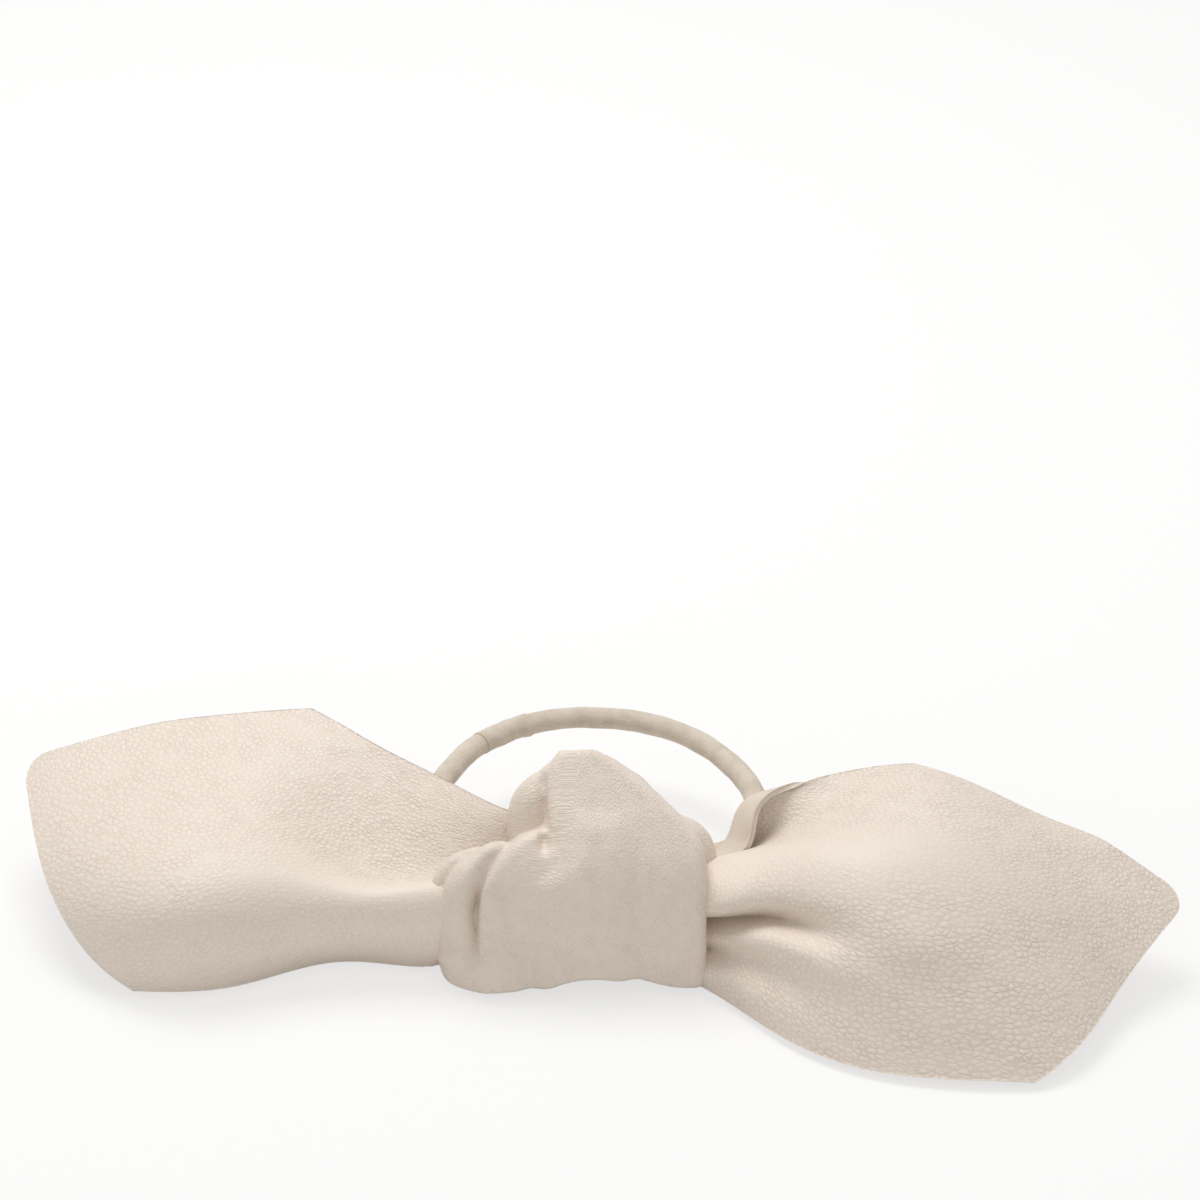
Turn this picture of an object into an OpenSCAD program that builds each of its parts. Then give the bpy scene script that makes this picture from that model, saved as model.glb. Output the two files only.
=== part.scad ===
// Knotted leather bow hair tie.
// One soft leather strip with pointed ends is tied in an overhand knot round a covered
// elastic ring. Origin: centre of the knot's flat underside. +X along the bow to the
// right, +Y back towards the elastic ring, +Z up. Millimetres.

/* [Leather strip] */
// width of the strip
strip_w = 70; // [50:1:90]
// thickness of the leather
leather_t = 1.0; // [0.6:0.1:1.6]
// length of each tail, from where it leaves the knot to its shoulders
tail_l = 50; // [35:1:80]
// length of the pointed end beyond the shoulders
point_l = 38; // [20:1:60]
// radius of the rounded tip
tip_r = 4.5; // [2:0.5:10]
// length of the gathered neck between the knot and the free tail
neck_l = 22; // [16:1:28]

/* [Knot] */
// width of the knot along the bow
knot_w = 47; // [38:1:60]
// height of the knot
knot_h = 36; // [30:1:44]
// how far the front of the knot stands forward
knot_front = 17; // [14:0.5:22]
// length of the packed turns inside the knot, along the bow
pack_l = 24; // [18:1:30]
// front to back thickness of the packed turns
pack_w = 12; // [8:0.5:14]
// height of the packed turns
pack_h = 20; // [17:0.5:24]
// width of the loop that holds the elastic ring
loop_w = 24; // [14:1:28]
// leather round the elastic in the loop
loop_wall = 3; // [2:0.25:4]

/* [Elastic ring] */
// diameter of the ring, along the middle of its cord
ring_d = 60; // [50:1:80]
// diameter of the covered elastic cord
cord_d = 4; // [3:0.25:6]
// wall of the cord's cover
cover_t = 0.6; // [0.3:0.05:1]
// play between the elastic and its cover
cover_gap = 0.05; // [0.02:0.01:0.1]
// play between the cord and the loop that holds it
loop_gap = 0.05; // [0.02:0.01:0.1]
// radius of the bend at each end of the straight run in the knot
bend_r = 12; // [8:0.5:15]
// distance from the ring's centre to the straight run
seat_l = 13.5; // [10:0.5:18]
// height of the cord above the table
ring_z = 13; // [10:0.5:16]
// sideways offset of the ring from the knot
ring_x = 3; // [-4:0.5:4]
// width of the lap where the cover's ends overlap
lap_w = 4; // [2:0.5:8]
// extra thickness at the lap
lap_t = 0.25; // [0.1:0.05:0.5]
// thickness of the glue in the elastic's butt joint
glue_t = 0.4; // [0.2:0.1:1]
// half angle of the ring's back that stays in one curve when it stretches
back_a = 40; // [25:1:60]

/* [Hidden] */
leather = [0.86, 0.81, 0.75];
suede = [0.80, 0.75, 0.69];
elastic = [0.88, 0.86, 0.82];
glue = [0.70, 0.62, 0.45];

// --- derived sizes -------------------------------------------------------------
cord_r = cord_d / 2;
cover_in = cord_r - cover_t;
core_r = cover_in - cover_gap;
bore_r = cord_r + loop_gap;
ring_r = ring_d / 2;
pack_y = 3 - pack_w / 2;
pack_back = 3;
seat_y = pack_back + loop_wall + bore_r;
straight_h = sqrt(pow(ring_r - bend_r, 2) - pow(seat_l - bend_r, 2));
join_a = atan2(bend_r - seat_l, straight_h);
shift_x = knot_w / 2 - 23.5;
seam = 0.2;

// --- the draped strip ----------------------------------------------------------
// Each tail is a sheet over a net of stations: [s, x at the front edge, x at the back
// edge, [[y, z] ... from the front edge to the back edge]], s measured along the strip.
left_net = [
  [-4, -17, -8, [[-3, 4], [-8, 5], [-9, 9.5], [-5, 13], [0, 12.5], [2, 14], [3, 16], [4, 18], [5, 20]]],
  [8, -25, -14, [[-5, 1.5], [-10.5, 4], [-11.5, 10], [-6, 14.5], [0, 13.5], [3, 15.5], [5, 18], [7, 20],
    [9, 22]]],
  [22, -41, -24, [[-6.5, 0.8], [-11.2, 5.5], [-9.8, 11.8], [-4, 15.4], [2, 15.2], [7, 17.2], [11, 19.8],
    [14.8, 22.2], [18.5, 24]]],
  [36, -57.5, -35.5, [[-8.5, 0.8], [-11.2, 7], [-8, 13], [-2, 16.8], [5, 17.6], [12, 19.2], [18, 21.4],
    [24, 23.2], [29, 24.4]]],
  [50, -75, -47, [[-13, 0.8], [-9.5, 7.8], [-3.5, 13.6], [3.5, 17.6], [11, 20.2], [18, 21.8], [25, 23],
    [31.5, 23.7], [37.3, 24]]],
  [69, -98, -67.5, [[-7, 1.5], [1, 5.4], [9, 9.2], [15.8, 12.7], [22.5, 15.8], [29.3, 18.5], [36, 20.6],
    [43, 22], [50, 22.8]]],
  [88, -118, -86, [[2, 0.5], [9.5, 5], [17.5, 9.4], [25.3, 13.4], [33, 17], [41, 19.8], [49, 21.8],
    [57, 23.2], [65, 24]]]
];
right_net = [
  [-4, 13, 13, [[-8, 2.5], [-8.5, 6], [-7, 9], [-5, 11.5], [-3, 14], [0, 15.2], [3, 15], [4.5, 16.5],
    [4, 18.5]]],
  [8, 24, 24, [[-12.8, 1], [-10.5, 5.5], [-8.5, 9], [-7, 12.5], [-3.5, 15.6], [0.6, 16.2], [4.5, 15.8],
    [6.8, 17], [5, 19.5]]],
  [22, 36.5, 33, [[-24, 1], [-18, 6], [-11.5, 10], [-7, 14.4], [-1.5, 18], [4.5, 18.6], [10, 19], [14, 21.4],
    [12.5, 25.2]]],
  [36, 53, 46, [[-34, 0.8], [-28, 5.4], [-21.5, 10.2], [-15, 14], [-8.4, 18], [-1.5, 21], [5.4, 22.8],
    [11.6, 24.8], [16.6, 27.4]]],
  [50, 77, 60, [[-38.5, 0.8], [-33, 5.2], [-27, 9.2], [-21, 13], [-14.5, 16.4], [-8, 19.6], [-1, 22.3],
    [7, 25], [16, 27]]],
  [69, 96, 82, [[-33, -1], [-26, 2.8], [-19, 6.8], [-12, 10.4], [-5, 14], [2, 17.3], [8.8, 20.4],
    [15.6, 23], [22.4, 25.2]]],
  [88, 114, 102.5, [[-28, -4], [-21, 0.4], [-14, 4.8], [-7, 9], [0, 13], [7, 16.8], [14, 20.2],
    [21, 23.2], [28, 26]]]
];
net_s = [-4, 8, 22, 36, 50, 69, 88];
net_w = 70;
shoulder_s = 50;
tip_s = 88;

function spline(a, b, c, d, u) =
  0.5 * (2 * b + (c - a) * u + (2 * a - 5 * b + 4 * c - d) * u * u + (3 * b - a - 3 * c + d) * u * u * u);
function pick(v, i) =
  i < 0 ? 2 * v[0] - v[1] : i >= len(v) ? 2 * v[len(v) - 1] - v[len(v) - 2] : v[i];
function along(v, x) =
  let (i = max(0, min(len(v) - 2, floor(x))))
  spline(pick(v, i - 1), pick(v, i), pick(v, i + 1), pick(v, i + 2), x - i);
function row_x(s) = lookup(s, [for (i = [0:len(net_s) - 1]) [net_s[i], i]]);
function net_point(net, k, t) =
  let (q = (t + 1) / 2, yz = along(net[k][3], q * (len(net[k][3]) - 1)))
  [net[k][1] + (net[k][2] - net[k][1]) * q, yz[0], yz[1]];
// place on the sheet: s along the strip, t from -1 at the front edge to 1 at the back edge
function drape(net, s, t) =
  let (p = along([for (k = [0:len(net) - 1]) net_point(net, k, t)], row_x(s)),
       side = p[0] < 0 ? -1 : 1,
       x = abs(p[0]),
       grown = x < 24 ? x : x < 60 ? 24 + (x - 24) * tail_l / shoulder_s
         : 24 + 36 * tail_l / shoulder_s + (x - 60) * point_l / (tip_s - shoulder_s),
       g = max(0, min(1, (x - 24) / 16)),
       k = 1 + (strip_w / net_w - 1) * g)
  [side * (grown + shift_x), p[1] * k, p[2] * k];
// share of the full width at s: full to the shoulders, then the point with its round tip
tip_a = atan2(strip_w / 2, point_l);
round_r = min(tip_r, 0.3 * point_l);
tip_end = point_l - round_r / sin(tip_a) + round_r;
tip_tan = point_l - round_r / tan(tip_a) * cos(tip_a);
function half_w(d) =
  d <= 0 ? strip_w / 2
  : d < tip_tan ? strip_w / 2 * (point_l - d) / point_l
  : sqrt(max(0.04, pow(round_r, 2) - pow(d - (tip_end - round_r), 2)));
function edge_share(s) = 2 * half_w((s - shoulder_s) * point_l / (tip_s - shoulder_s)) / strip_w;
function unit(v) = v / norm(v);
function sheet_n(net, s, t) =
  unit(cross(drape(net, s + 0.5, t) - drape(net, s - 0.5, t), drape(net, s, t + 0.02) - drape(net, s, t - 0.02)));

// closed sheet of leather between two stations
module sheet(net, s_list, n_t) {
  rows = len(s_list);
  mid = [for (s = s_list) for (j = [0:n_t])
    let (t = (2 * j / n_t - 1) * edge_share(s)) drape(net, s, t)];
  nor = [for (s = s_list) for (j = [0:n_t])
    let (t = (2 * j / n_t - 1) * edge_share(s)) sheet_n(net, s, t)];
  count = len(mid);
  w = n_t + 1;
  pts = concat([for (i = [0:count - 1]) mid[i] + nor[i] * leather_t / 2],
               [for (i = [0:count - 1]) mid[i] - nor[i] * leather_t / 2]);
  one = [for (r = [0:rows - 2]) for (j = [0:n_t - 1])
    let (a = r * w + j, b = a + 1, c = a + w, d = c + 1) each [[a, b, d], [a, d, c]]];
  two = [for (r = [0:rows - 2]) for (j = [0:n_t - 1])
    let (a = count + r * w + j, b = a + 1, c = a + w, d = c + 1) each [[a, d, b], [a, c, d]]];
  rim = concat([for (j = [0:n_t - 1]) j],
               [for (r = [0:rows - 2]) r * w + n_t],
               [for (j = [n_t:-1:1]) (rows - 1) * w + j],
               [for (r = [rows - 1:-1:1]) r * w]);
  side = [for (i = [0:len(rim) - 1])
    let (a = rim[i], b = rim[(i + 1) % len(rim)]) each [[a, a + count, b + count], [a, b + count, b]]];
  flip = net[4][1] > 0;
  faces = concat(one, two, side);
  polyhedron(pts, flip ? faces : [for (f = faces) [f[0], f[2], f[1]]]);
}

tail_rows = concat([for (i = [0:6]) neck_l + (shoulder_s - neck_l) * i / 6],
  [for (i = [1:8]) shoulder_s + (tip_s - shoulder_s) * (tip_tan / point_l) * i / 8],
  [for (i = [1:3]) shoulder_s + (tip_s - shoulder_s) / point_l
    * (tip_tan + (tip_end - tip_tan) * (0.5 + 0.5 * sin(-90 + 60 * i)) * 0.97)]);
neck_rows = [for (i = [0:8]) 2 + (neck_l - seam - 2) * i / 8];

// --- outer forms of the knot's turns -------------------------------------------
module ball(x, y, z, r) {
  translate([x, y, z]) sphere(r = r, $fn = 32);
}
half_k = knot_w / 2;
top_z = knot_h;
module band_form() {
  hull() {
    ball(half_k - 4.5, -7, 4.5, 4.5);
    ball(-8, -8, 5, 5);
    ball(half_k - 11.5, 9 - knot_front, 14, 9);
    ball(-1, 9 - knot_front, 14, 9);
    ball(half_k - 6, -1, 15, 6);
    ball(3, 6, top_z - 7.5, 7.5);
    ball(12, 2.5, top_z - 12, 6.5);
    ball(-3, 5, top_z - 9, 6);
  }
}
module turn_form() {
  hull() {
    ball(5.5 - half_k, -8, 5.5, 5.5);
    ball(5 - half_k, -5, 16, 5);
    ball(-12, -7, 7, 7);
    ball(-12, -6, 14, 6);
  }
}
module tuck_form() {
  hull() {
    ball(5 - half_k, -2, 17.5, 4);
    ball(-12, 1.5, 20, 5.5);
    ball(-6, 6, top_z - 9, 5.5);
  }
}
module pack_form() {
  linear_extrude(height = pack_h) {
    translate([-(pack_l - pack_w) / 2, pack_y]) circle(d = pack_w, $fn = 64);
    translate([(pack_l - pack_w) / 2, pack_y]) circle(d = pack_w, $fn = 64);
    translate([-(pack_l - pack_w) / 2, pack_y - pack_w / 2]) square([pack_l - pack_w, pack_w]);
  }
}
module loop_form(grow = 0) {
  translate([ring_x - loop_w / 2 - grow, 0, 0])
    rotate([90, 0, 90])
      linear_extrude(height = loop_w + 2 * grow) {
        translate([seat_y, ring_z]) circle(r = bore_r + loop_wall + grow, $fn = 64);
        translate([pack_back - grow, ring_z - bore_r - loop_wall - grow])
          square([seat_y - pack_back + grow, 2 * (bore_r + loop_wall + grow)]);
      }
}
module ring_way() {
  translate([-60, seat_y - cord_r - 0.5, -1]) cube([120, 60, ring_z + cord_r + 1.5]);
}

// --- pieces of the elastic ring --------------------------------------------------
module ring_place() {
  translate([ring_x, seat_y + seat_l, ring_z]) children();
}
module arc(radius, from_a, to_a, r_out, r_in) {
  rotate([0, 0, from_a])
    rotate_extrude(angle = to_a - from_a, $fn = 96)
      translate([radius, 0])
        difference() {
          circle(r = r_out, $fn = 32);
          if (r_in > 0) circle(r = r_in, $fn = 32);
        }
}
module bend(side, r_out, r_in) {
  mirror([side < 0 ? 1 : 0, 0, 0])
    translate([straight_h, bend_r - seat_l, 0]) arc(bend_r, -90, join_a, r_out, r_in);
}
module run(x0, x1, r_out, r_in) {
  translate([x0, -seat_l, 0])
    rotate([0, 90, 0])
      difference() {
        cylinder(r = r_out, h = x1 - x0, $fn = 32);
        if (r_in > 0) translate([0, 0, -1]) cylinder(r = r_in, h = x1 - x0 + 2, $fn = 32);
      }
}

module left_tail() {
  color(leather) sheet(left_net, tail_rows, 14);
}
module left_neck() {
  color(leather) difference() {
    sheet(left_net, neck_rows, 14);
    band_form();
    turn_form();
    tuck_form();
    pack_form();
    loop_form();
    ring_way();
  }
}
module right_tail() {
  color(leather) sheet(right_net, tail_rows, 14);
}
module right_neck() {
  color(leather) difference() {
    sheet(right_net, neck_rows, 14);
    band_form();
    pack_form();
    loop_form();
    ring_way();
  }
}
module knot_pack() {
  color(leather) pack_form();
}
module front_band() {
  color(leather) difference() {
    band_form();
    pack_form();
    loop_form();
    ring_way();
  }
}
module left_turn() {
  color(leather) difference() {
    turn_form();
    band_form();
    pack_form();
    loop_form();
    ring_way();
  }
}
module top_tuck() {
  color(leather) difference() {
    tuck_form();
    turn_form();
    band_form();
    pack_form();
    loop_form();
    ring_way();
  }
}
// loop of the strip that the elastic runs through
module ring_loop() {
  color(leather) difference() {
    loop_form();
    translate([ring_x - loop_w / 2 - 1, seat_y, ring_z])
      rotate([0, 90, 0]) cylinder(r = bore_r, h = loop_w + 2, $fn = 64);
  }
}
module cover_front() {
  color(suede) ring_place() {
    run(-straight_h, straight_h, cord_r, cover_in);
    bend(1, cord_r, cover_in);
    bend(-1, cord_r, cover_in);
  }
}
module cover_right() {
  color(suede) ring_place() arc(ring_r, join_a, 90 - back_a, cord_r, cover_in);
}
module cover_left() {
  color(suede) ring_place() arc(ring_r, 90 + back_a, 180 - join_a, cord_r, cover_in);
}
module cover_back() {
  color(suede) ring_place() arc(ring_r, 90 - back_a, 90 + back_a, cord_r, cover_in);
}
// lap where the ends of the cover are glued over each other
module cover_lap() {
  lap_a = lap_w / ring_r * 180 / PI;
  color(suede) ring_place() arc(ring_r, 118 - lap_a / 2, 118 + lap_a / 2, cord_r + lap_t, cord_r);
}
module core_front_left() {
  color(elastic) ring_place() {
    run(-straight_h, -glue_t / 2, core_r, 0);
    bend(-1, core_r, 0);
  }
}
module core_front_right() {
  color(elastic) ring_place() {
    run(glue_t / 2, straight_h, core_r, 0);
    bend(1, core_r, 0);
  }
}
module core_right() {
  color(elastic) ring_place() arc(ring_r, join_a, 90 - back_a, core_r, 0);
}
module core_left() {
  color(elastic) ring_place() arc(ring_r, 90 + back_a, 180 - join_a, core_r, 0);
}
module core_back() {
  color(elastic) ring_place() arc(ring_r, 90 - back_a, 90 + back_a, core_r, 0);
}
// glued butt joint of the elastic, hidden in the knot
module core_joint() {
  color(glue) ring_place() run(-glue_t / 2, glue_t / 2, core_r, 0);
}

left_tail();
left_neck();
right_tail();
right_neck();
knot_pack();
front_band();
left_turn();
top_tuck();
ring_loop();
cover_front();
cover_left();
cover_right();
cover_back();
cover_lap();
core_front_left();
core_front_right();
core_left();
core_right();
core_back();
core_joint();
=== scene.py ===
import math
import bpy
import numpy as np
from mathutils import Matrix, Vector


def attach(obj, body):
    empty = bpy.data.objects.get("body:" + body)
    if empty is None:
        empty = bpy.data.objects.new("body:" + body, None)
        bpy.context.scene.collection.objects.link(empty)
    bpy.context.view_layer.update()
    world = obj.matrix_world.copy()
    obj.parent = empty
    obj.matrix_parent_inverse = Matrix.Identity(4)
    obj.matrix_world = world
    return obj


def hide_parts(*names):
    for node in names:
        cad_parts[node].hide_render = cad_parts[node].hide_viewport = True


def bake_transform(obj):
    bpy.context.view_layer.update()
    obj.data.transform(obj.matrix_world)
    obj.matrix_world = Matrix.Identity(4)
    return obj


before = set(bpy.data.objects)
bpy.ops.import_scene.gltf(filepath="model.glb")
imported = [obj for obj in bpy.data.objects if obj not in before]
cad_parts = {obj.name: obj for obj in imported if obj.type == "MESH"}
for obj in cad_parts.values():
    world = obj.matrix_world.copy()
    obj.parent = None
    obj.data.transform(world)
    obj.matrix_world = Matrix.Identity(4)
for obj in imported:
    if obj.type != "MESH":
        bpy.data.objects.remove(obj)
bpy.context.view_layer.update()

# ---------------------------------------------------------------- table, lamps and camera
# The hair tie lies on a white table in a light tent. One broad lamp hangs overhead, a
# little to the left and behind. The white walls and the table fill the shadows.


def linear(code):
    channels = [int(code[i:i + 2], 16) / 255 for i in (1, 3, 5)]
    return [c / 12.92 if c <= 0.04045 else ((c + 0.055) / 1.055) ** 2.4 for c in channels] + [1.0]


def node(tree, kind, settings=(), inputs=()):
    """Adds a node. Each input is given as a value, or as the output that is linked to it."""
    made = tree.nodes.new(kind)
    for name, value in dict(settings).items():
        setattr(made, name, value)
    for name, value in dict(inputs).items():
        if isinstance(value, bpy.types.NodeSocket):
            tree.links.new(value, made.inputs[name])
        else:
            made.inputs[name].default_value = value
    return made


def new_material(name):
    material = bpy.data.materials.new(name)
    material.use_nodes = True
    material.node_tree.nodes.clear()
    return material, material.node_tree


def lay_table():
    mesh = bpy.data.meshes.new("table")
    far, deep = 3.0, -0.0004
    mesh.from_pydata([(-far, -far, deep), (far, -far, deep), (far, far, deep), (-far, far, deep)], [],
                     [(0, 1, 2, 3)])
    table = bpy.data.objects.new("table", mesh)
    bpy.context.collection.objects.link(table)
    # White laminate: even, matte, and so bright to the eye that only the soft shadow shows.
    material, tree = new_material("White laminate table")
    board = node(tree, "ShaderNodeBsdfPrincipled", (), {
        "Base Color": linear("#F2F1EF"), "Roughness": 0.9, "Specular IOR Level": 0.1})
    glow = node(tree, "ShaderNodeEmission", (), {"Color": linear("#FFFFFF"), "Strength": 1.0})
    path = node(tree, "ShaderNodeLightPath")
    glow_share = 0.66
    share = node(tree, "ShaderNodeMath", {"operation": "MULTIPLY"},
                 {0: path.outputs["Is Camera Ray"], 1: glow_share})
    mix = node(tree, "ShaderNodeMixShader", (), {
        0: share.outputs[0], 1: board.outputs[0], 2: glow.outputs[0]})
    node(tree, "ShaderNodeOutputMaterial", (), {"Surface": mix.outputs[0]})
    mesh.materials.append(material)


def hang_lamp(name, place, aim, size, power):
    light = bpy.data.lights.new(name, "AREA")
    light.shape, light.size, light.size_y, light.energy = "RECTANGLE", size[0], size[1], power
    lamp = bpy.data.objects.new(name, light)
    lamp.location = place
    lamp.rotation_euler = (Vector(aim) - Vector(place)).to_track_quat("-Z", "Y").to_euler()
    bpy.context.collection.objects.link(lamp)


lay_table()
hang_lamp("overhead softbox", (-0.10, 0.29, 0.64), (0.0, 0.0, 0.01), (0.36, 0.36), 3.0)
hang_lamp("front fill", (-0.1, -1.1, 0.6), (0.0, 0.0, 0.0), (0.9, 0.6), 0.95)
tent = bpy.data.worlds.new("white tent")
bpy.context.scene.world = tent
tent.use_nodes = True
tent.node_tree.nodes["Background"].inputs[0].default_value = (1.0, 1.0, 1.0, 1.0)
tent.node_tree.nodes["Background"].inputs[1].default_value = 0.55

lens = bpy.data.cameras.new("camera")
lens.lens, lens.sensor_width, lens.clip_start = 105.0, 36.0, 0.01
camera = bpy.data.objects.new("camera", lens)
camera.location = (0.0049, -0.4871, 0.3753)
looks_down = 32
camera.rotation_euler = (math.radians(90 - looks_down), 0.0, 0.0)
bpy.context.collection.objects.link(camera)
bpy.context.scene.camera = camera
bpy.context.scene.view_settings.view_transform = "Standard"

# ---------------------------------------------------------------- leather of the strip
# One strip of soft lambskin, 70 mm wide and 1 mm thick, drum dyed cream. The grain side is
# pebbled, the flesh side is brushed like suede, and the cut edges are raw.


def skin(name, grain_code, crease_shade_code, pebble_mm, depth_mm):
    """Lambskin nappa, tumbled: rounded pebbles with fine creases between them, painted shade in the
    creases, soft sheen.
    """
    material, tree = new_material(name)
    place = node(tree, "ShaderNodeAttribute", {"attribute_name": "rest"}).outputs["Vector"]
    flat = node(tree, "ShaderNodeAttribute", {"attribute_name": "grain"}).outputs["Vector"]
    slack = node(tree, "ShaderNodeAttribute", {"attribute_name": "slack"}).outputs["Fac"]
    gather = node(tree, "ShaderNodeAttribute", {"attribute_name": "gather"}).outputs["Fac"]
    drift = node(tree, "ShaderNodeTexNoise", (), {"Vector": flat, "Scale": 700.0, "Detail": 2.0})
    bent = node(tree, "ShaderNodeVectorMath", {"operation": "MULTIPLY_ADD"},
                {0: drift.outputs["Color"], 1: (0.0007, 0.0007, 0.0007), 2: flat}).outputs[0]
    scale = 1000 / pebble_mm
    edge = node(tree, "ShaderNodeTexVoronoi", {"feature": "DISTANCE_TO_EDGE"},
                {"Vector": bent, "Scale": scale, "Randomness": 0.9})
    groove = node(tree, "ShaderNodeMapRange", {"interpolation_type": "SMOOTHSTEP"},
                  {"Value": edge.outputs["Distance"], "From Max": 0.20}).outputs[0]
    heart = node(tree, "ShaderNodeTexVoronoi", (), {"Vector": bent, "Scale": scale, "Randomness": 0.9})
    dome = node(tree, "ShaderNodeMapRange", {"interpolation_type": "SMOOTHSTEP"},
                {"Value": heart.outputs["Distance"], "From Max": 0.8, "To Min": 1.2,
                 "To Max": 0.0}).outputs[0]
    pebble = node(tree, "ShaderNodeMath", {"operation": "MULTIPLY_ADD"},
                  {0: groove, 1: 0.42, 2: dome}).outputs[0]
    flock = node(tree, "ShaderNodeTexNoise", (), {"Vector": flat, "Scale": 230.0, "Detail": 1.0})
    uneven = node(tree, "ShaderNodeMapRange", (), {
        "Value": flock.outputs["Fac"], "From Min": 0.3, "From Max": 0.7, "To Min": 0.55}).outputs[0]
    strength = node(tree, "ShaderNodeMath", {"operation": "MULTIPLY"}, {0: uneven, 1: slack}).outputs[0]
    fine = node(tree, "ShaderNodeTexNoise", (), {
        "Vector": place, "Scale": 3200.0, "Detail": 2.0}).outputs["Fac"]
    grained = node(tree, "ShaderNodeMath", {"operation": "MULTIPLY"}, {0: pebble, 1: strength}).outputs[0]
    pored = node(tree, "ShaderNodeMath", {"operation": "MULTIPLY_ADD"},
                 {0: fine, 1: 0.22, 2: grained}).outputs[0]
    pulled = node(tree, "ShaderNodeMapping", (), {
        "Vector": flat, "Scale": (110.0, 800.0, 300.0)}).outputs[0]
    pleat = node(tree, "ShaderNodeTexNoise", (), {
        "Vector": pulled, "Scale": 1.0, "Detail": 2.0}).outputs["Fac"]
    drawn = node(tree, "ShaderNodeMath", {"operation": "MULTIPLY"}, {0: pleat, 1: gather}).outputs[0]
    high = node(tree, "ShaderNodeMath", {"operation": "MULTIPLY_ADD"},
                {0: drawn, 1: 2.4, 2: pored}).outputs[0]
    bump = node(tree, "ShaderNodeBump", (), {
        "Height": high, "Strength": 1.0, "Distance": depth_mm / 1000})
    # painted shade: the grooves between the pebbles take up to a third of the shade colour, more where the
    # leather is slack
    valley = node(tree, "ShaderNodeMapRange", (), {
        "Value": groove, "To Min": 0.34, "To Max": 0.0}).outputs[0]
    painted_crease_shade = node(tree, "ShaderNodeMath", {"operation": "MULTIPLY"}, {0: valley, 1: strength}).outputs[0]
    colour = node(tree, "ShaderNodeMix", {"data_type": "RGBA"}, {
        "Factor": painted_crease_shade, "A": linear(grain_code), "B": linear(crease_shade_code)})
    body = node(tree, "ShaderNodeBsdfPrincipled", (), {
        "Base Color": colour.outputs["Result"], "Normal": bump.outputs[0], "Roughness": 0.5, "IOR": 1.45,
        "Specular IOR Level": 0.45, "Sheen Weight": 0.08, "Sheen Roughness": 0.5})
    node(tree, "ShaderNodeOutputMaterial", (), {"Surface": body.outputs[0]})
    return material


def nap(name, code, dark_code, fibre_mm, depth_mm, sheen=0.3):
    """Brushed flesh side or suede: short matted fibres in patches, no gloss, a velvety pale rim."""
    material, tree = new_material(name)
    place = node(tree, "ShaderNodeAttribute", {"attribute_name": "rest"}).outputs["Vector"]
    fibre = node(tree, "ShaderNodeTexNoise", (), {
        "Vector": place, "Scale": 1000 / fibre_mm, "Detail": 4.0, "Roughness": 0.65}).outputs["Fac"]
    patch = node(tree, "ShaderNodeTexNoise", (), {
        "Vector": place, "Scale": 300.0, "Detail": 3.0}).outputs["Fac"]
    both = node(tree, "ShaderNodeMath", {"operation": "MULTIPLY_ADD"},
                {0: patch, 1: 0.8, 2: fibre}).outputs[0]
    bump = node(tree, "ShaderNodeBump", (), {
        "Height": both, "Strength": 1.0, "Distance": depth_mm / 1000})
    part = node(tree, "ShaderNodeMapRange", (), {
        "Value": both, "From Min": 0.6, "From Max": 1.2}).outputs[0]
    colour = node(tree, "ShaderNodeMix", {"data_type": "RGBA"}, {
        "Factor": part, "A": linear(dark_code), "B": linear(code)})
    body = node(tree, "ShaderNodeBsdfPrincipled", (), {
        "Base Color": colour.outputs["Result"], "Normal": bump.outputs[0], "Roughness": 0.92,
        "Specular IOR Level": 0.15, "Sheen Weight": sheen, "Sheen Roughness": 0.35})
    node(tree, "ShaderNodeOutputMaterial", (), {"Surface": body.outputs[0]})
    return material


# the grain side's second colour is painted shade, laid into the creases between the pebbles
grain_side = skin("Cream lambskin nappa, grain side", "#E8DBCE", "#B29F8A", 0.95, 0.11)
flesh_side = nap("Cream lambskin, brushed flesh side", "#E2D7CA", "#D0C2B2", 0.18, 0.05)
cut_edge = nap("Cream lambskin, raw cut edge", "#EADFD3", "#D6C8B8", 0.15, 0.06)

# ---------------------------------------------------------------- tails of the strip
# The strip's two free ends, cut square at the shoulders and then to a round-tipped point.
# Each comes out of the knot in gathers and lies with its front edge on the table.

strip_w, leather_t, shoulder_s, tip_s, tip_r = 70.0, 1.0, 50.0, 88.0, 4.5
net_s = np.array([-4.0, 8, 22, 36, 50, 69, 88])


def spline_rows(knots, at):
    """Rows that turn values at the knots into natural cubic spline values at the places asked."""
    n, h = len(knots), np.diff(knots)
    a, b = np.zeros((n, n)), np.zeros((n, n))
    a[0, 0] = a[-1, -1] = 1
    for i in range(1, n - 1):
        a[i, i - 1], a[i, i], a[i, i + 1] = h[i - 1] / 6, (h[i - 1] + h[i]) / 3, h[i] / 6
        b[i, i - 1], b[i, i], b[i, i + 1] = 1 / h[i - 1], -1 / h[i - 1] - 1 / h[i], 1 / h[i]
    bend = np.linalg.solve(a, b)
    i = np.clip(np.searchsorted(knots, at) - 1, 0, n - 2)
    u = ((knots[i + 1] - at) / h[i])[:, None]
    v = 1 - u
    hi = h[i][:, None]
    one = np.eye(n)
    return u * one[i] + v * one[i + 1] + ((u**3 - u) * bend[i] + (v**3 - v) * bend[i + 1]) * hi**2 / 6


def ramp(x, low, high):
    u = np.clip((x - low) / (high - low), 0, 1)
    return u * u * (3 - 2 * u)


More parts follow.
